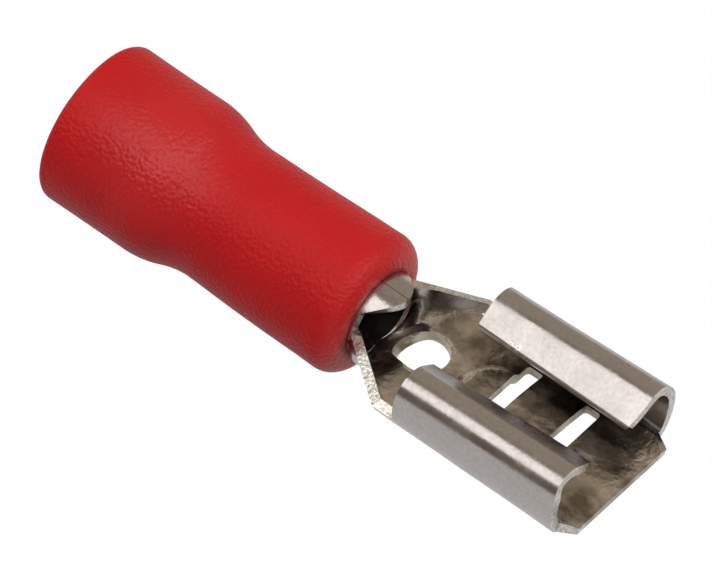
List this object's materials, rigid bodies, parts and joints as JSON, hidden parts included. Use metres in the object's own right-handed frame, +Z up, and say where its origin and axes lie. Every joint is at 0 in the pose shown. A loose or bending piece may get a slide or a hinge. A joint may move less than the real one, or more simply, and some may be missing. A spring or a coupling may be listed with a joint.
{
  "type": "female spade terminal",
  "caption": "Crimp-on female spade terminal: a folded metal receptacle with rolled sides on a crimp barrel held in a moulded insulating sleeve.",
  "frame": {"origin": "middle of the bounding box at its lowest level, the plane that the sleeve lies on", "axes": "+X along the terminal towards the mouth that takes the tab, +Z up from the receptacle's floor to its rolled sides"},
  "size_m": [0.0208, 0.006, 0.0055],
  "materials": {
    "tinned_metal": "bright tin plating over brass sheet",
    "sleeve_plastic": "red flexible plastic with a fine leather-like grain and a soft sheen"
  },
  "bodies": {
    "root": {"contact": "tinned_metal", "sleeve": "sleeve_plastic"}
  },
  "joints": []
}
